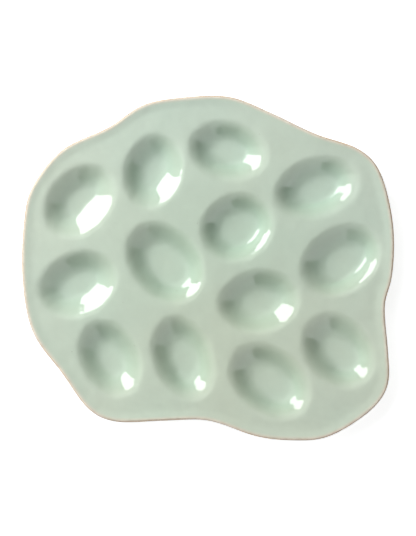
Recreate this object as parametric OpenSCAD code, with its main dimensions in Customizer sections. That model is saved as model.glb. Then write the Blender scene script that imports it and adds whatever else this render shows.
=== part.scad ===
// Oyster plate: a free-form stoneware platter with thirteen oval wells.
// Millimetres, +Z up, feet on the table at z = 0.
// The face, the clay and the underside are offsets of one well section.

/* [Plate] */
// Overall length of the platter, along X
plate_l = 340; // [330:1:400]
// Overall width of the platter, along Y
plate_w = 315; // [306:1:370]
// Thickness of the fired clay under the glaze
wall = 5; // [4:0.25:6]

/* [Wells] */
// Length of the typical well at its mouth
well_l = 80; // [74:1:81]
// Width of the typical well at its mouth
well_w = 60; // [56:1:61]
// Depth of a well below the glazed web
well_depth = 12; // [10:0.5:13]
// Angle of the typical well's sides to the level
side_angle = 38; // [35:1:41]
// Radius of the soft roll-over round a mouth
mouth_r = 18; // [14:0.5:20]
// Radius between a well's side and its floor
bottom_r = 14; // [10:0.5:16]

/* [Rim] */
// Width of the margin that turns up towards the edge
rim_w = 8; // [5:0.5:8.5]
// Height that the edge stands above the web
rim_lift = 2; // [0:0.25:4]
// Thickness of the rounded edge
rim_t = 2.4; // [1.6:0.1:3.6]

/* [Glaze] */
// Thickness of the glaze coats
glaze = 0.5; // [0.3:0.05:0.8]

/* [Feet] */
// Depth ground off the underside of each well to make a flat foot
foot_grind = 0.8; // [0.4:0.1:1.5]
// Height above the table where the underside glaze is wiped away
foot_wipe = 1; // [0.5:0.1:2]

/* [Hidden] */
$fn = 72;

// Outline as drawn, counter-clockwise from the right, in mm from the middle
EDGE = [
  [169, 38], [158, 86], [138, 109], [98, 123], [56, 143], [20, 157],
  [-18, 157], [-59, 150], [-91, 129], [-133, 109], [-160, 76], [-168, 47],
  [-170, -6], [-161, -57], [-134, -95], [-110, -128], [-85, -140], [-40, -139],
  [0, -139], [42, -153], [74, -157], [109, -154], [147, -131], [164, -107],
  [164, -75], [161, -34], [168, -6]
];
// Points that the curve adds along each span of the outline
edge_steps = 5;

// Wells as drawn: x, y, length and width against the typical well, turn, steeper by
WELLS = [
  [-118, 62, 1.01, 1.00, 48, -3],
  [-51, 90, 0.92, 0.95, 72, -3],
  [18, 108, 0.97, 0.96, -12, 0],
  [99, 74, 1.04, 0.97, 19, 3],
  [26, 38, 0.91, 1.07, 30, 3],
  [-40, 6, 1.08, 1.11, -48, 1],
  [-120, -14, 1.00, 1.02, 26, -3],
  [121, 8, 1.03, 1.05, 35, 3],
  [46, -30, 0.99, 1.02, 9, -2],
  [-90, -82, 0.97, 0.97, -62, 2],
  [-23, -82, 1.05, 0.98, -69, 3],
  [56, -103, 1.08, 1.06, -38, 2],
  [119, -75, 0.99, 1.05, -48, 0]
];
// Angle at which a mouth's roll-over leaves the web
lip = 12;
// Least width of the level floor, which limits the radius beside it
least_floor = 2;
// Chords in each arc of the well section
arc_steps = 6;
// Chords in the rim's rise and round its nose
rise_steps = 3;
nose_steps = 4;

// Heights, all worked up from the ground feet
face_z = well_depth + glaze + wall - foot_grind;
clay_z = face_z - glaze;
under_z = clay_z - wall;
// Offsets of the well section below the glazed face
clay_in = glaze;
clay_out = glaze + wall;
coat_out = clay_out + glaze;
// Short run by which a section passes the plane that it meets
pass = glaze / 8;
clear = 4 * rim_lift + wall;

// Closed smooth curve through the drawn points
function wrap(list, i) = list[(i + len(list)) % len(list)];
function span(a, b, c, d, t) = 0.5 * (2 * b + (c - a) * t
  + (2 * a - 5 * b + 4 * c - d) * t * t + (3 * b - a - 3 * c + d) * t * t * t);
curve = [for (i = [0 : len(EDGE) - 1], k = [0 : edge_steps - 1])
  span(wrap(EDGE, i - 1), EDGE[i], wrap(EDGE, i + 1), wrap(EDGE, i + 2), k / edge_steps)];
xs = [for (p = curve) p.x];
ys = [for (p = curve) p.y];
middle = [max(xs) + min(xs), max(ys) + min(ys)] / 2;
stretch = [plate_l / (max(xs) - min(xs)), plate_w / (max(ys) - min(ys))];
function place(p) = [(p.x - middle.x) * stretch.x, (p.y - middle.y) * stretch.y];
outline = [for (p = curve) place(p)];
n = len(outline);

// Inset of the outline with parallel sides
function side(i) = let (d = wrap(outline, i + 1) - wrap(outline, i)) [d.y, -d.x] / norm(d);
mitre = [for (i = [0 : n - 1]) let (a = side(i - 1), b = side(i)) (a + b) / (1 + a * b)];
function inset(d) = [for (i = [0 : n - 1]) outline[i] - d * mitre[i]];

// Margin section as inset and height: the top side, the nose, the underside
nose_r = rim_t / 2;
function ease(s) = (1 - cos(180 * s)) / 2;
function rise(k) = k / rise_steps;
function run(k) = rim_w + (nose_r - rim_w) * rise(k);
function top_side(h) = [for (k = [0 : rise_steps])
  [run(k), clay_z + h + rim_lift * ease(rise(k))]];
function under_side(h) = [for (k = [rise_steps : -1 : 0])
  [run(k), under_z - h + (rim_lift + wall - rim_t) * ease(rise(k))]];
nose = [for (k = [1 : nose_steps - 1]) let (a = 180 * k / nose_steps)
  [nose_r * (1 - sin(a)), clay_z + rim_lift - nose_r * (1 - cos(a))]];
function back(list) = [for (i = [len(list) - 1 : -1 : 0]) list[i]];

// Solid between the first and last ring of a margin section
// The block round it joins the triangles of each flat side into one face
module platter(section) {
  m = len(section);
  rings = [for (s = section) for (p = inset(s[0])) [p.x, p.y, s[1]]];
  ends = [[0, 0, section[0][1]], [0, 0, section[m - 1][1]]];
  sides = [for (j = [0 : m - 2], i = [0 : n - 1])
    [j * n + i, j * n + (i + 1) % n, (j + 1) * n + (i + 1) % n, (j + 1) * n + i]];
  upper = [for (i = [0 : n - 1]) [m * n, (i + 1) % n, i]];
  lower = [for (i = [0 : n - 1]) [m * n + 1, (m - 1) * n + i, (m - 1) * n + (i + 1) % n]];
  intersection() {
    polyhedron(concat(rings, ends), concat(sides, upper, lower));
    translate([-plate_l, -plate_w, 0])
      cube([2 * plate_l, 2 * plate_w, 4 * face_z]);
  }
}

// Section of a well at depth d under the glazed face, closed up to height top
function lip_at(d) = acos((mouth_r * cos(lip) - d) / (mouth_r - d));
function well_section(width, slope, d, top) =
  let (
    mouth = [width / 2 + mouth_r * sin(lip), face_z - mouth_r * cos(lip)],
    drop = well_depth - mouth_r * (cos(lip) - cos(slope)),
    toe = mouth.x - mouth_r * sin(slope) - drop / tan(slope),
    fillet = min(bottom_r, (toe - least_floor / 2) / tan(slope / 2)),
    bottom = [toe - fillet * tan(slope / 2), face_z - well_depth + fillet],
    low = [for (k = [0 : arc_steps]) let (a = slope * k / arc_steps)
      bottom + (fillet + d) * [sin(a), -cos(a)]],
    high = [for (k = [0 : arc_steps]) let (a = slope + (lip_at(d) - slope) * k / arc_steps)
      mouth + (mouth_r - d) * [-sin(a), cos(a)]],
    last = high[arc_steps] + pass * [1 / tan(lip_at(d)), 1]
  )
  concat([[0, top], [0, low[0].y]], low, high, [last, [last.x, top]]);

// All thirteen wells as solids, offset by d
module wells(d, top) {
  for (w = WELLS) {
    length = well_l * w[2];
    width = well_w * w[3];
    translate(place([w[0], w[1]]))
      rotate(w[4])
        scale([length / width, 1, 1])
          rotate_extrude()
            polygon(well_section(width, side_angle + w[5], d, top));
  }
}

// Everything below height z
module below(z) {
  translate([-plate_l, -plate_w, z - 4 * face_z])
    cube([2 * plate_l, 2 * plate_w, 4 * face_z]);
}

// Fired clay: the platter, its wells and their ground feet
module stoneware_body() {
  color("#c9b491")
    difference() {
      union() {
        platter(concat(top_side(0), nose, under_side(0)));
        wells(clay_out, clay_z - wall / 2);
      }
      wells(clay_in, face_z + clear);
      below(0);
    }
}

// Glaze on the face, from the crest of the edge down into the wells
module face_glaze() {
  color("#c1cdbc")
    difference() {
      union() {
        platter(concat(top_side(glaze), back(top_side(0))));
        wells(clay_in, face_z - glaze / 2);
      }
      wells(0, face_z + clear);
    }
}

// Glaze under the platter, wiped off round the feet
module underside_glaze() {
  color("#b9c6b2")
    difference() {
      union() {
        platter(concat(back(under_side(0)), under_side(glaze)));
        wells(coat_out, under_z - glaze / 2);
      }
      wells(clay_out, clay_z - wall / 2);
      below(foot_wipe);
    }
}

stoneware_body();
face_glaze();
underside_glaze();
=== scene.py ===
"""Oyster plate: fired clay, face glaze and underside glaze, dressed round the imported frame."""
import math

import bpy
import numpy as np
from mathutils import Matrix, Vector
from mathutils.bvhtree import BVHTree


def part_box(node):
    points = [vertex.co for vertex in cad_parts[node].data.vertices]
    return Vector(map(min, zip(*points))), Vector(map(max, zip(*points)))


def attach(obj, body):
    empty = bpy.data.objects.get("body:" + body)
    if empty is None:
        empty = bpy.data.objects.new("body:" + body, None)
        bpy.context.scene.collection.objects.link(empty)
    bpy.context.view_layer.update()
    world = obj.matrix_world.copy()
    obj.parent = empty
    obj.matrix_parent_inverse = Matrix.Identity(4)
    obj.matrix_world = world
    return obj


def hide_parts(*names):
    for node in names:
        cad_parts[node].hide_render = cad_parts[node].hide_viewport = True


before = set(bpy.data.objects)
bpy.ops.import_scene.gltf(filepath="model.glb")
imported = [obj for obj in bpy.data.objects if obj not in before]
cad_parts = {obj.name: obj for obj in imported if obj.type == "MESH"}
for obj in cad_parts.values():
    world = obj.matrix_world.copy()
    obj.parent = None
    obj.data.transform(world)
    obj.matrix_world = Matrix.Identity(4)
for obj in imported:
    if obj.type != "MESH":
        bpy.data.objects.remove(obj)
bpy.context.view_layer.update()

BODY = "stoneware_body"
FACE = "face_glaze"
UNDER = "underside_glaze"
UP = Vector((0, 0, 1))

# Steps of the height maps and of the well sections, in metres
MM = 0.001
MAP_STEP = 1.0 * MM
SECTION_STEP = 0.25 * MM
SECTION_MARGIN = 8.0 * MM
LEVEL_STEP = 0.05 * MM
TINY = 1e-6
# Part of a cell that keeps a smooth lookup off the map's last row
SLIVER = 0.001
# Reach of a blur, against its spread
BELL_REACH = 3

# How far each form is softened, in metres
WEB_SOFT = 2.6 * MM
UNDER_SOFT = 0.9 * MM
WIPE_SOFT = 0.6 * MM
OUTLINE_SOFT = 4.0 * MM
PRESS_SOFT = 1.3 * MM
FILL_SOFT = 3.0 * MM

# Grid cells across each piece, and chords round the edge
FACE_CELLS = 212
UNDER_CELLS = 200
CLAY_CELLS = 160
OUTLINE_STEPS = 1440
NOSE_CHORDS = 8
LIP_CHORDS = 4

# Depth at which a well is found, and the width of the lip outside that line
FOUND_DEPTH = 1.0 * MM
LIP_WIDTH = 3.0 * MM
# Distance over which a well counts as a pool of glaze
POOL_REACH = 14 * MM
# Depth in the clay of the underside coat on a wiped foot, and half that of its inner face
BURY = 0.3 * MM
# Lip of the face coat and hem of the underside coat, against the glaze's thickness
COAT_LIP = 0.8
COAT_HEM = 0.4
# Distance from the edge over which the glaze thins, and how thin it is on a wiped foot
THIN_REACH = 3.0 * MM
THIN_FOOT = 0.6

# Slow waves of a hand-finished face: radians per metre along X and Y, and the phase
WAVES = ((52, 23, 0.4), (-17, 61, 1.9), (38, 38, 4.1))
WAVE_DEPTH = 0.4 * MM
# Height above the feet over which the underside takes up the waves
WAVE_FADE = 4.0 * MM

# Hand-pressed wells, one row each: the middle, then the shaded side and the lit side, in mm
# A side has its angle in degrees, mouth radius, floor radius, and how evenly it runs round the ends
PRESSED = [
    (-118, 62, (36, 18, 18, 0.4), (28, 20, 5, 1.0)),
    (-51, 90, (38, 18, 18, 0.4), (35, 6, 13, 0.1)),
    (18, 108, (42, 18, 18, 0.4), (41, 20, 6, 0.3)),
    (99, 74, (43, 18, 18, 0.4), (45, 20, 5, 0.3)),
    (26, 38, (42, 18, 18, 0.4), (43, 14, 7, 0.7)),
    (-40, 6, (37, 18, 18, 0.4), (40, 13, 13, 0.8)),
    (-120, -14, (36, 18, 18, 0.4), (33, 12, 10, 0.5)),
    (121, 8, (36, 18, 18, 0.4), (45, 12, 5, 0.8)),
    (46, -30, (38, 18, 18, 0.4), (37, 14, 14, 0.5)),
    (-90, -82, (38, 18, 18, 0.4), (37, 16, 13, 0.4)),
    (-23, -82, (38, 18, 18, 0.4), (44, 20, 15, 0.4)),
    (56, -103, (39, 18, 18, 0.4), (45, 20, 14, 0.8)),
    (119, -75, (36, 18, 18, 0.4), (45, 19, 10, 0.9)),
]
# Angle at which a mouth's roll-over leaves the web, in degrees
LIP_ANGLE = 12
# Direction from a well's middle to its lit side, in degrees
LIT_TURN = -40
# Cosine to that direction where the lit side starts, and the range until it is full
LIT_FROM = -0.3
LIT_OVER = 1.1

# Noises: scale per metre, detail, roughness
TONE_NOISE = (7.0, 3.0, 0.5)
MOTTLE_NOISE = (95.0, 4.0, 0.5)
EDGE_NOISE = (160.0, 4.0, 0.5)
IRON_NOISE = (600.0, 3.0, 0.5)
GLOSS_NOISE = (55.0, 3.0, 0.5)
SWELL_NOISE = (80.0, 1.0, 0.5)
FINE_NOISE = (130.0, 2.0, 0.5)
GRAIN_NOISE = (620.0, 6.0, 0.65)
TOAST_NOISE = (24.0, 3.0, 0.5)
GROG_NOISE = (900.0, 3.0, 0.5)
# Range that holds most of a noise's values
NOISE_RANGE = (0.3, 0.7)

# Glaze colours and the washes that tint them, as positions with sRGB colours or linear greys
WHITE = (255, 255, 255)
GLAZE_TONES = ((0.35, (196, 213, 199)), (0.5, (198, 213, 199)), (0.65, (200, 213, 198)))
GLAZE_MOTTLE = ((0.3, 0.965), (0.7, 1.0))
# By the depth under the mean face, by distance from the middle, from front to back, and painted
# shade by slope
POOL_RANGE = (-3 * MM, 6 * MM)
POOL_WASH = ((0.0, (255, 254, 252)), (0.33, (252, 251, 249)), (1.0, (250, 255, 254)))
MIDDLE_RANGE = (0.05, 0.165)
MIDDLE_WASH = ((0.0, (248, 250, 247)), (1.0, WHITE))
KILN_RANGE = (-0.15, 0.15)
KILN_WASH = ((0.0, (255, 253, 249)), (1.0, (253, 255, 255)))
# Painted shade and painted green bounce light: steep walls are coloured darker and greener
SLOPE_SHADE = ((0.78, (245, 250, 247)), (0.96, WHITE))
EDGE_TONES = ((0.3, (212, 200, 180)), (0.7, (230, 221, 204)))
IRON_TONES = ((0.3, (92, 74, 56)), (0.7, (132, 114, 90)))
GLAZE_ROUGH = (0.015, 0.04)
GLAZE_IOR = 1.52
GLAZE_BUMP = 0.03 * MM
# Height of the glaze's slow swell against its fine unevenness
SWELL = 22.0

# Bare clay
CLAY_TONES = ((0.3, (200, 186, 171)), (0.5, (220, 209, 196)), (0.7, (233, 225, 214)))
TOAST_WASH = ((0.35, (238, 224, 205)), (0.65, WHITE))
GROG_TONES = ((0.3, (96, 76, 58)), (0.7, (142, 118, 92)))
CLAY_ROUGH = (0.75, 0.95)
CLAY_BUMP = 0.08 * MM

# Specks: cells per metre, and the largest radius as a share of a cell
IRON_SPECKS = (105.0, 0.034)
GROG_SPECKS = (330.0, 0.16)
# Share of the cells without a speck, and the part of the radius that is its soft edge
SPECK_NONE = 0.4
SPECK_SOFT = 1 / 3

# Floor: its grey, and the white that it shows, which is full from a distance on
FLOOR_SIZE = 60.0
FLOOR_DROP = 0.1 * MM
FLOOR_GREY = 0.8
FLOOR_FADE = (0.4, 0.9)
FLOOR_SHOWN = (0.7, 1.0)

# Room: a white band along the horizon, as greys over the height of an upward direction
BAND_RANGE = (0.0, 0.25)
BAND = ((0.4, 1.0), (0.9, 0.0))

# Lamps: azimuth from +X towards +Y, elevation, distance in metres, degrees across and up, radiance
KEY = (141, 27, 1.8, 41, 31, 9.5)
# Fills don't show in the gloss
FILLS = {
    "upper_fill": (141, 48, 1.3, 84, 15, 4.2),
    "lower_fill": (-45, 44, 1.2, 56, 16, 3.0),
    "left_fill": (205, 40, 1.8, 50, 40, 0.5),
}
# Glosses show in the gloss alone
GLOSSES = {
    "upper_low": (141, 48, 1.8, 84, 15, 0.7),
    "upper_high": (141, 64, 1.8, 100, 16, 0.7),
    "ceiling": (0, 90, 1.5, 46, 46, 0.9),
}
# White card opposite the key, a gloss too, in rows with their radiance from its foot up
CARD = (2.3, 2.3, 2.1, 1.9, 1.6, 1.3, 1.0, 0.8, 0.6, 0.4)
CARD_AZIMUTH = -45
CARD_DISTANCE = 1.2
CARD_ACROSS = 56
CARD_ROW = 6

# Photograph's frame and camera
IMAGE_H = 536
PLATE_SPAN_PX = 373
LENS_MM = 85
SENSOR_MM = 36


# Measures taken from the frame
def tree_of(name):
    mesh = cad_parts[name].data
    verts = [v.co.copy() for v in mesh.vertices]
    faces = [list(p.vertices) for p in mesh.polygons]
    return BVHTree.FromPolygons(verts, faces)


body_lo, body_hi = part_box(BODY)
face_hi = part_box(FACE)[1]
plate_l = body_hi.x - body_lo.x
plate_w = body_hi.y - body_lo.y
nose_r = body_hi.x - face_hi.x
glaze_t = face_hi.z - body_hi.z


# Smoothing
def bell(width):
    reach = int(math.ceil(BELL_REACH * width))
    steps = np.arange(-reach, reach + 1)
    weights = np.exp(-0.5 * (steps / width) ** 2)
    return steps, weights / weights.sum()


def blur_ring(values, width):
    return sum(w * np.roll(values, s) for s, w in zip(*bell(width)))


def blur_line(values, width):
    steps, weights = bell(width)
    wide = np.pad(values, steps[-1], mode="edge")
    return sum(w * wide[k:k + len(values)] for k, w in enumerate(weights))


def blur(values, width):
    steps, weights = bell(width)
    for axis in (0, 1):
        pad = [(steps[-1], steps[-1]) if a == axis else (0, 0) for a in (0, 1)]
        wide = np.pad(values, pad)
        count = values.shape[axis]
        values = sum(w * np.take(wide, range(k, k + count), axis) for k, w in enumerate(weights))
    return values


def cubic_weights(t):
    return (
        ((2 - t) * t - 1) * t / 2,
        ((3 * t - 5) * t * t + 2) / 2,
        ((4 - 3 * t) * t + 1) * t / 2,
        (t - 1) * t * t / 2,
    )


# Height maps on an even grid, softened as a fired glaze softens an edge
class HeightMap:
    def __init__(self, half_x, half_y):
        self.nx = int(round(2 * half_x / MAP_STEP)) + 1
        self.ny = int(round(2 * half_y / MAP_STEP)) + 1
        self.x0 = -MAP_STEP * (self.nx - 1) / 2
        self.y0 = -MAP_STEP * (self.ny - 1) / 2
        xs = self.x0 + MAP_STEP * np.arange(self.nx)
        ys = self.y0 + MAP_STEP * np.arange(self.ny)
        self.x, self.y = np.meshgrid(xs, ys, indexing="ij")

    def cast(self, tree, start_z, direction):
        z = np.full((self.nx, self.ny), np.nan)
        for i in range(self.nx):
            for j in range(self.ny):
                origin = Vector((self.x[i, j], self.y[i, j], start_z))
                hit = tree.ray_cast(origin, direction)[0]
                if hit is not None:
                    z[i, j] = hit.z
        return z

    def soften(self, z, size):
        known = np.isfinite(z)
        total = blur(np.where(known, z, 0.0), size / MAP_STEP)
        weight = blur(known.astype(float), size / MAP_STEP)
        return np.where(weight > TINY, total / np.maximum(weight, TINY), np.nan)

    def fill(self, z):
        while not np.isfinite(z).all():
            z = np.where(np.isfinite(z), z, self.soften(z, FILL_SOFT))
        return z

    def at(self, values, x, y):
        """Smooth value between the grid's points."""
        u = np.clip((x - self.x0) / MAP_STEP, 1, self.nx - 2 - SLIVER)
        v = np.clip((y - self.y0) / MAP_STEP, 1, self.ny - 2 - SLIVER)
        i = u.astype(int)
        j = v.astype(int)
        total = np.zeros_like(u)
        for a, wa in enumerate(cubic_weights(u - i)):
            for b, wb in enumerate(cubic_weights(v - j)):
                total += wa * wb * values[i + a - 1, j + b - 1]
        return total


def waves(x, y):
    """Slow unevenness of the face, always downwards."""
    wave = sum(np.sin(x * a + y * b + phase) for a, b, phase in WAVES)
    return WAVE_DEPTH * (wave / len(WAVES) - 1) / 2


maps = HeightMap(plate_l / 2, plate_w / 2)
face_cast = maps.cast(tree_of(FACE), plate_l, -UP)
under_cast = maps.cast(tree_of(BODY), -plate_l, UP)
coat_cast = maps.cast(tree_of(UNDER), -plate_l, UP)

FLOOR_Z = np.nanmin(face_cast)


def web_level():
    """Commonest height in the upper half of the face."""
    upper = face_cast[face_cast > (FLOOR_Z + face_hi.z) / 2]
    levels, counts = np.unique(np.round(upper / LEVEL_STEP), return_counts=True)
    return levels[counts.argmax()] * LEVEL_STEP


WEB_Z = web_level()


# Wells found in the frame, each with the two sides of its row in the table
class Well:
    """Oval well with one section on its shaded side and another on its lit side."""

    def __init__(self, region):
        x = maps.x[region]
        y = maps.y[region]
        self.middle = np.array([x.mean(), y.mean()])
        # Half an oval's axis is twice the spread of its area along that axis
        sizes, axes = np.linalg.eigh(np.cov(x, y))
        self.across = axes[:, 0]
        self.along = axes[:, 1]
        self.stretch = math.sqrt(sizes[1] / sizes[0])
        self.half = 2 * math.sqrt(sizes[0]) + LIP_WIDTH
        self.shaded, self.lit = min(PRESSED, key=self.distance)[2:]

    def distance(self, row):
        return math.dist(self.middle, (row[0] * MM, row[1] * MM))

    def local(self, x, y):
        dx = x - self.middle[0]
        dy = y - self.middle[1]
        along = dx * self.along[0] + dy * self.along[1]
        across = dx * self.across[0] + dy * self.across[1]
        return along, across

    def radius(self, x, y):
        u, v = self.local(x, y)
        return np.hypot(u / self.stretch, v)

    def section(self, side, mouth_r, floor_r):
        """Depth against distance in from the mouth: roll-over, straight side, floor radius."""
        side = math.radians(side)
        lip = math.radians(LIP_ANGLE)
        full = WEB_Z - FLOOR_Z
        arcs = mouth_r * (math.cos(lip) - math.cos(side)) + floor_r * (1 - math.cos(side))
        fit = min(1, full / (arcs * MM)) * MM
        first = fit * mouth_r * (math.sin(side) - math.sin(lip))
        last = fit * floor_r * math.sin(side)
        straight = max(full - arcs * fit, 0) / math.tan(side)
        end = self.half * self.stretch + SECTION_MARGIN
        s = np.arange(-SECTION_MARGIN, end, SECTION_STEP)
        rise = np.interp(s, [-TINY, 0, first], [0, math.sin(lip), math.sin(side)])
        fall = np.interp(s, [first + straight, first + straight + last], [math.sin(side), 0])
        slope = np.tan(np.arcsin(np.minimum(rise, fall)))
        z = -np.cumsum(slope)
        z = z * full / -z[-1]
        return s, blur_line(z, PRESS_SOFT / SECTION_STEP)

    def side_depth(self, x, y, side, mouth_r, floor_r, even):
        share = self.radius(x, y) / self.half
        away = np.hypot(*self.local(x, y)) / np.maximum(share, TINY)
        inward = (even * away + (1 - even) * self.half) * (1 - share)
        return np.interp(inward, *self.section(side, mouth_r, floor_r))

    def depth(self, x, y):
        """Depth below the web, with a smooth turn from the shaded side to the lit one."""
        turn = np.arctan2(y - self.middle[1], x - self.middle[0]) - math.radians(LIT_TURN)
        t = np.clip((np.cos(turn) - LIT_FROM) / LIT_OVER, 0, 1)
        t = t * t * (3 - 2 * t)
        return self.side_depth(x, y, *self.shaded) * (1 - t) + self.side_depth(x, y, *self.lit) * t


def region_of(mask):
    """Connected part of a mask that holds the mask's first point."""
    region = np.zeros_like(mask)
    region[np.unravel_index(mask.argmax(), mask.shape)] = True
    while True:
        wide = region.copy()
        wide[1:] |= region[:-1]
        wide[:-1] |= region[1:]
        wide[:, 1:] |= region[:, :-1]
        wide[:, :-1] |= region[:, 1:]
        wide &= mask
        if (wide == region).all():
            return region
        region = wide


def find_wells():
    low = np.where(np.isfinite(face_cast), face_cast, WEB_Z) < WEB_Z - FOUND_DEPTH
    wells = []
    while low.any():
        region = region_of(low)
        low &= ~region
        wells.append(Well(region))
    return wells


# Face: the web with its waves, which fade out down the wells
web_cast = np.where(face_cast < WEB_Z, WEB_Z, face_cast)
web_map = maps.fill(maps.soften(web_cast, WEB_SOFT)) + waves(maps.x, maps.y)
sunk_map = sum(well.depth(maps.x, maps.y) for well in find_wells())
share_map = np.clip(1 + sunk_map / (WEB_Z - FLOOR_Z), 0, 1)
face_map = WEB_Z + (web_map - WEB_Z) * share_map + sunk_map
pool_map = maps.soften(face_map, POOL_REACH) - face_map

# Underside: the same waves above the feet, and 1 where the coat covers the clay
plain_map = maps.fill(maps.soften(under_cast, UNDER_SOFT))
fade_map = np.clip(plain_map / WAVE_FADE, 0, 1)
under_map = np.maximum(plain_map + waves(maps.x, maps.y) * fade_map, 0)
coated = np.where(np.isfinite(coat_cast) & (coat_cast < under_cast), 1.0, 0.0)
coated = np.where(np.isfinite(under_cast), coated, np.nan)
coat_map = maps.fill(maps.soften(coated, WIPE_SOFT))


# Plan outline as a radius for each angle, seen from the middle of the plate
def outline_radius():
    co = np.array([v.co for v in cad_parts[BODY].data.vertices])
    height = co[co[:, 0].argmax(), 2]
    tree = tree_of(BODY)
    reach = plate_l + plate_w
    radius = np.zeros(OUTLINE_STEPS)
    for k in range(OUTLINE_STEPS):
        turn = 2 * math.pi * k / OUTLINE_STEPS
        out = Vector((math.cos(turn), math.sin(turn), 0))
        hit = tree.ray_cast(out * reach + UP * float(height), -out)[0]
        radius[k] = math.hypot(hit.x, hit.y)
    return blur_ring(radius, OUTLINE_SOFT * OUTLINE_STEPS / (2 * math.pi * radius.mean()))


RADII = outline_radius()
TURN_STEP = 2 * math.pi / OUTLINE_STEPS
# Length along a ray from the middle for one unit of inset, all round the outline
SLANT = np.hypot(RADII, (np.roll(RADII, -1) - np.roll(RADII, 1)) / (2 * TURN_STEP)) / RADII


def round_table(table, angle):
    u = (angle % (2 * math.pi)) / TURN_STEP
    i = np.floor(u).astype(int)
    t = u - i
    return table[i % OUTLINE_STEPS] * (1 - t) + table[(i + 1) % OUTLINE_STEPS] * t


class Disc:
    """Square grid mapped on to the plan: it has no pole, and its border is the outline."""

    def __init__(self, cells):
        line = np.linspace(-1, 1, cells + 1)
        a, b = np.meshgrid(line, line, indexing="ij")
        wide = np.abs(a) >= np.abs(b)
        safe_a = np.where(a == 0, 1, a)
        safe_b = np.where(b == 0, 1, b)
        eighth = math.pi / 4
        turn = np.where(wide, eighth * b / safe_a, math.pi / 2 - eighth * a / safe_b)
        size = np.where(wide, a, b)
        self.share = np.abs(size).ravel()
        self.angle = np.arctan2(size * np.sin(turn), size * np.cos(turn)).ravel()
        self.radius = round_table(RADII, self.angle)
        self.slant = round_table(SLANT, self.angle)
        index = np.arange((cells + 1) ** 2).reshape(cells + 1, cells + 1)
        borders = [index[:-1, 0], index[-1, :-1], index[:0:-1, -1], index[0, :0:-1]]
        self.border = np.concatenate(borders)
        quads = [index[:-1, :-1], index[1:, :-1], index[1:, 1:], index[:-1, 1:]]
        self.faces = np.stack(quads, -1).reshape(-1, 4)

    def plan(self, inset):
        """Grid points in plan whose border is the outline moved in by inset."""
        reach = self.share * (self.radius - inset * self.slant)
        return reach * np.cos(self.angle), reach * np.sin(self.angle)

    def near_edge(self, reach):
        """1 on the outline, falling to 0 at the given distance from it."""
        inside = (1 - self.share) * self.radius / self.slant
        return np.clip(1 - inside / reach, 0, 1) ** 2

    def ring(self, inset, z):
        x, y = self.plan(inset)
        return points(x[self.border], y[self.border], z)


# Closed pieces
def points(x, y, z):
    return np.stack([x, y, z], -1)


def make_piece(name, verts, faces, attributes):
    mesh = bpy.data.meshes.new(name)
    mesh.from_pydata(verts.tolist(), [], faces.tolist())
    for key, values in attributes.items():
        layer = mesh.attributes.new(key, "FLOAT", "POINT")
        layer.data.foreach_set("value", np.asarray(values, dtype=np.float32))
    mesh.polygons.foreach_set("use_smooth", np.ones(len(mesh.polygons), dtype=bool))
    mesh.update()
    piece = bpy.data.objects.new(name, mesh)
    bpy.context.scene.collection.objects.link(piece)
    return piece


def shell(name, disc, top, bottom, rings, attributes):
    """Closed shell from a top grid, a bottom grid and rings of points that join their borders."""
    count = len(disc.border)
    size = len(disc.share)
    verts = np.concatenate([top, bottom] + rings)
    loops = [disc.border]
    loops += [2 * size + k * count + np.arange(count) for k in range(len(rings))]
    loops += [disc.border + size]
    sides = [
        np.stack([upper, lower, np.roll(lower, -1), np.roll(upper, -1)], -1)
        for upper, lower in zip(loops, loops[1:])
    ]
    faces = np.concatenate([disc.faces, disc.faces[:, ::-1] + size] + sides)
    layers = {}
    for key, values in attributes.items():
        layers[key] = np.concatenate([values, values] + [values[disc.border]] * len(rings))
    return make_piece(name, verts, faces, layers)


def clay_body():
    disc = Disc(CLAY_CELLS)
    x, y = disc.plan(nose_r)
    top = maps.at(face_map, x, y) - glaze_t
    bottom = maps.at(under_map, x, y)
    crest = top[disc.border]
    belly = bottom[disc.border]
    rings = []
    for k in range(1, NOSE_CHORDS):
        a = math.pi * k / NOSE_CHORDS
        z = (crest + belly) / 2 + (crest - belly) / 2 * math.cos(a)
        rings.append(disc.ring(nose_r * (1 - math.sin(a)), z))
    return shell("clay_body", disc, points(x, y, top), points(x, y, bottom), rings, {})


def face_coat():
    disc = Disc(FACE_CELLS)
    lip = COAT_LIP * glaze_t
    x, y = disc.plan(nose_r + lip)
    top = maps.at(face_map, x, y)
    edge = top[disc.border]
    end_x, end_y = disc.plan(nose_r)
    crest = maps.at(face_map, end_x, end_y)[disc.border] - glaze_t
    rings = []
    for k in range(1, LIP_CHORDS + 1):
        a = math.pi / 2 * k / LIP_CHORDS
        z = edge - (edge - crest) * (1 - math.cos(a))
        rings.append(disc.ring(nose_r + lip * (1 - math.sin(a)), z))
    layers = {"pool": maps.at(pool_map, x, y), "thin": disc.near_edge(THIN_REACH)}
    bottom = points(x, y, top - glaze_t)
    return shell("face_coat", disc, points(x, y, top), bottom, rings, layers)


def under_coat():
    disc = Disc(UNDER_CELLS)
    x, y = disc.plan(nose_r + BURY)
    clay = maps.at(under_map, x, y)
    coat = maps.at(coat_map, x, y)
    inner = clay + 2 * BURY
    outer = clay - glaze_t * coat + BURY * (1 - coat)
    end_x, end_y = disc.plan(nose_r)
    belly = maps.at(under_map, end_x, end_y)[disc.border]
    ring = disc.ring(nose_r, belly - COAT_HEM * glaze_t)
    thin = np.maximum(disc.near_edge(THIN_REACH), THIN_FOOT * (1 - coat))
    layers = {"pool": np.zeros(len(x)), "thin": thin}
    return shell("under_coat", disc, points(x, y, inner), points(x, y, outer), [ring], layers)


# Colours and nodes
def srgb(r, g, b):
    def linear(c):
        c = c / 255
        return c / 12.92 if c <= 0.04045 else ((c + 0.055) / 1.055) ** 2.4
    return (linear(r), linear(g), linear(b), 1)


def grey(level):
    return (level, level, level, 1)


def shades(stops):
    return [(position, srgb(*colour)) for position, colour in stops]


def greys(stops):
    return [(position, grey(level)) for position, level in stops]


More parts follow.
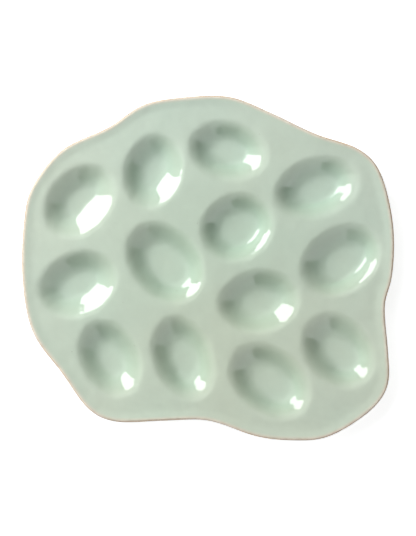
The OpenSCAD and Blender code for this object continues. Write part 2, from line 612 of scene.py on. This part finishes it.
def new_material(name):
    material = bpy.data.materials.new(name)
    material.use_nodes = True
    tree = material.node_tree
    return material, tree, tree.nodes["Principled BSDF"]


def add(tree, kind, **settings):
    node = tree.nodes.new(kind)
    for key, value in settings.items():
        if hasattr(node, key):
            setattr(node, key, value)
        else:
            node.inputs[key].default_value = value
    return node


def place_on(tree):
    return add(tree, "ShaderNodeTexCoord").outputs["Object"]


def attribute(tree, key):
    return add(tree, "ShaderNodeAttribute", attribute_name=key).outputs["Fac"]


def length(tree, vector):
    node = add(tree, "ShaderNodeVectorMath", operation="LENGTH")
    tree.links.new(vector, node.inputs[0])
    return node.outputs["Value"]


def along(tree, vector, axis):
    node = add(tree, "ShaderNodeSeparateXYZ")
    tree.links.new(vector, node.inputs[0])
    return node.outputs[axis]


def math_node(tree, operation, *sources):
    node = add(tree, "ShaderNodeMath", operation=operation)
    for socket, source in zip(node.inputs, sources):
        tree.links.new(source, socket)
    return node.outputs[0]


def noise(tree, place, scale, detail, roughness):
    node = add(tree, "ShaderNodeTexNoise", Scale=scale, Detail=detail, Roughness=roughness)
    tree.links.new(place, node.inputs["Vector"])
    return node.outputs["Fac"]


def ramp(tree, source, stops):
    node = add(tree, "ShaderNodeValToRGB")
    elements = node.color_ramp.elements
    while len(elements) < len(stops):
        elements.new(0.5)
    for element, (position, colour) in zip(elements, stops):
        element.position = position
        element.color = colour
    tree.links.new(source, node.inputs["Fac"])
    return node.outputs["Color"]


def spread(tree, source, low, high, to_low=0.0, to_high=1.0):
    node = add(tree, "ShaderNodeMapRange")
    node.inputs["From Min"].default_value = low
    node.inputs["From Max"].default_value = high
    node.inputs["To Min"].default_value = to_low
    node.inputs["To Max"].default_value = to_high
    tree.links.new(source, node.inputs["Value"])
    return node.outputs["Result"]


def tint(tree, base, wash):
    node = add(tree, "ShaderNodeMix", data_type="RGBA", blend_type="MULTIPLY")
    node.inputs["Factor"].default_value = 1.0
    tree.links.new(base, node.inputs["A"])
    tree.links.new(wash, node.inputs["B"])
    return node.outputs["Result"]


def over(tree, factor, base, upper):
    node = add(tree, "ShaderNodeMix", data_type="RGBA")
    tree.links.new(factor, node.inputs["Factor"])
    tree.links.new(base, node.inputs["A"])
    tree.links.new(upper, node.inputs["B"])
    return node.outputs["Result"]


def specks(tree, place, scale, largest):
    """1 inside sparse round specks and 0 between them."""
    cells = add(tree, "ShaderNodeTexVoronoi", Scale=scale)
    tree.links.new(place, cells.inputs["Vector"])
    draw = add(tree, "ShaderNodeSeparateColor")
    tree.links.new(cells.outputs["Color"], draw.inputs["Color"])
    size = spread(tree, draw.outputs["Red"], SPECK_NONE, 1.0, 0.0, largest)
    inside = math_node(tree, "SUBTRACT", size, cells.outputs["Distance"])
    return spread(tree, inside, 0.0, largest * SPECK_SOFT)


def bump_on(tree, shader, height, depth):
    node = add(tree, "ShaderNodeBump", Strength=1.0, Distance=depth)
    tree.links.new(height, node.inputs["Height"])
    tree.links.new(node.outputs["Normal"], shader.inputs["Normal"])


# Materials
def celadon(name):
    """Clear grey-green glaze over stoneware: tinted where it pools, warm where it thins, with
    painted shade on steep walls.
    """
    material, tree, shader = new_material(name)
    place = place_on(tree)
    normal = add(tree, "ShaderNodeNewGeometry").outputs["Normal"]
    colour = ramp(tree, noise(tree, place, *TONE_NOISE), shades(GLAZE_TONES))
    washes = [
        ramp(tree, noise(tree, place, *MOTTLE_NOISE), greys(GLAZE_MOTTLE)),
        ramp(tree, spread(tree, attribute(tree, "pool"), *POOL_RANGE), shades(POOL_WASH)),
        ramp(tree, spread(tree, length(tree, place), *MIDDLE_RANGE), shades(MIDDLE_WASH)),
        ramp(tree, spread(tree, along(tree, place, "Y"), *KILN_RANGE), shades(KILN_WASH)),
        # Painted shade: steep walls darker and greener
        ramp(tree, along(tree, normal, "Z"), shades(SLOPE_SHADE)),
    ]
    for wash in washes:
        colour = tint(tree, colour, wash)
    clay = ramp(tree, noise(tree, place, *EDGE_NOISE), shades(EDGE_TONES))
    colour = over(tree, attribute(tree, "thin"), colour, clay)
    iron = ramp(tree, noise(tree, place, *IRON_NOISE), shades(IRON_TONES))
    colour = over(tree, specks(tree, place, *IRON_SPECKS), colour, iron)
    tree.links.new(colour, shader.inputs["Base Color"])
    rough = spread(tree, noise(tree, place, *GLOSS_NOISE), *NOISE_RANGE, *GLAZE_ROUGH)
    tree.links.new(rough, shader.inputs["Roughness"])
    swell = add(tree, "ShaderNodeMath", operation="MULTIPLY_ADD")
    tree.links.new(noise(tree, place, *SWELL_NOISE), swell.inputs[0])
    swell.inputs[1].default_value = SWELL
    tree.links.new(noise(tree, place, *FINE_NOISE), swell.inputs[2])
    bump_on(tree, shader, swell.outputs[0], GLAZE_BUMP)
    shader.inputs["IOR"].default_value = GLAZE_IOR
    return material


def stoneware(name):
    """Bare fired clay with a sandy grain and darker grog."""
    material, tree, shader = new_material(name)
    place = place_on(tree)
    grain = noise(tree, place, *GRAIN_NOISE)
    colour = ramp(tree, grain, shades(CLAY_TONES))
    toast = ramp(tree, noise(tree, place, *TOAST_NOISE), shades(TOAST_WASH))
    colour = tint(tree, colour, toast)
    grog = ramp(tree, noise(tree, place, *GROG_NOISE), shades(GROG_TONES))
    colour = over(tree, specks(tree, place, *GROG_SPECKS), colour, grog)
    tree.links.new(colour, shader.inputs["Base Color"])
    rough = spread(tree, grain, *NOISE_RANGE, *CLAY_ROUGH)
    tree.links.new(rough, shader.inputs["Roughness"])
    bump_on(tree, shader, grain, CLAY_BUMP)
    return material


def floor_white(name):
    """White to the camera and in reflections, plain diffuse for the light it sends back."""
    material, tree, shader = new_material(name)
    links = tree.links
    tree.nodes.remove(shader)
    diffuse = add(tree, "ShaderNodeBsdfDiffuse", Color=grey(FLOOR_GREY))
    shown = add(tree, "ShaderNodeEmission", Color=grey(1))
    strength = spread(tree, length(tree, place_on(tree)), *FLOOR_FADE, *FLOOR_SHOWN)
    links.new(strength, shown.inputs["Strength"])
    both = add(tree, "ShaderNodeAddShader")
    links.new(diffuse.outputs[0], both.inputs[0])
    links.new(shown.outputs[0], both.inputs[1])
    rays = add(tree, "ShaderNodeLightPath").outputs
    mirrored = math_node(tree, "MAXIMUM", rays["Is Camera Ray"], rays["Is Glossy Ray"])
    seen = math_node(tree, "MAXIMUM", mirrored, rays["Is Transmission Ray"])
    mix = add(tree, "ShaderNodeMixShader")
    links.new(seen, mix.inputs["Fac"])
    links.new(diffuse.outputs[0], mix.inputs[1])
    links.new(both.outputs[0], mix.inputs[2])
    links.new(mix.outputs[0], tree.nodes["Material Output"].inputs["Surface"])
    return material


def dress(piece, node, material):
    piece.data.materials.append(material)
    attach(piece, "root")
    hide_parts(node)


glaze = celadon("celadon_glaze")
dress(clay_body(), BODY, stoneware("bare_stoneware"))
dress(face_coat(), FACE, glaze)
dress(under_coat(), UNDER, glaze)


# Stage, light and camera
def add_floor():
    half = FLOOR_SIZE / 2
    mesh = bpy.data.meshes.new("floor")
    corners = [(-half, -half), (half, -half), (half, half), (-half, half)]
    mesh.from_pydata([(x, y, -FLOOR_DROP) for x, y in corners], [], [(0, 1, 2, 3)])
    floor = bpy.data.objects.new("floor", mesh)
    bpy.context.scene.collection.objects.link(floor)
    mesh.materials.append(floor_white("floor_white"))


def add_panel(name, azimuth, elevation, distance, across, tall, radiance,
              shape="RECTANGLE", fills=True, mirrored=True):
    """Area lamp that faces the plate and spans the angles given."""
    az = math.radians(azimuth)
    el = math.radians(elevation)
    level = math.cos(el)
    place = Vector((level * math.cos(az), level * math.sin(az), math.sin(el))) * distance
    lamp = bpy.data.lights.new(name, "AREA")
    lamp.shape = shape
    lamp.size = 2 * distance * math.tan(math.radians(across / 2))
    lamp.size_y = 2 * distance * math.tan(math.radians(tall / 2))
    area = lamp.size * lamp.size_y
    if shape == "ELLIPSE":
        area *= math.pi / 4
    lamp.energy = radiance * math.pi * area
    holder = bpy.data.objects.new(name, lamp)
    holder.location = place
    holder.rotation_euler = (-place).to_track_quat("-Z", "Y").to_euler()
    holder.visible_diffuse = fills
    holder.visible_glossy = mirrored
    bpy.context.scene.collection.objects.link(holder)


def add_lamps():
    add_panel("key", *KEY, shape="ELLIPSE")
    for name, values in FILLS.items():
        add_panel(name, *values, mirrored=False)
    for name, values in GLOSSES.items():
        add_panel(name, *values, fills=False)
    for row, radiance in enumerate(CARD):
        place = (CARD_AZIMUTH, CARD_ROW * (row + 1), CARD_DISTANCE)
        add_panel("card_%d" % row, *place, CARD_ACROSS, CARD_ROW, radiance, fills=False)


def add_world():
    """Dark room with a white band along the horizon, the same for every kind of ray."""
    world = bpy.data.worlds.new("studio")
    world.use_nodes = True
    tree = world.node_tree
    direction = add(tree, "ShaderNodeTexCoord").outputs["Generated"]
    height = spread(tree, along(tree, direction, "Z"), *BAND_RANGE)
    tree.links.new(ramp(tree, height, greys(BAND)), tree.nodes["Background"].inputs["Color"])
    bpy.context.scene.world = world


def add_camera():
    view_h = plate_l / PLATE_SPAN_PX * IMAGE_H
    lens = bpy.data.cameras.new("camera")
    lens.lens = LENS_MM
    lens.sensor_width = SENSOR_MM
    camera = bpy.data.objects.new("camera", lens)
    camera.location = (0, 0, body_hi.z + view_h * LENS_MM / SENSOR_MM)
    bpy.context.scene.collection.objects.link(camera)
    bpy.context.scene.camera = camera


add_floor()
add_world()
add_lamps()
add_camera()
bpy.context.scene.view_settings.view_transform = "Standard"
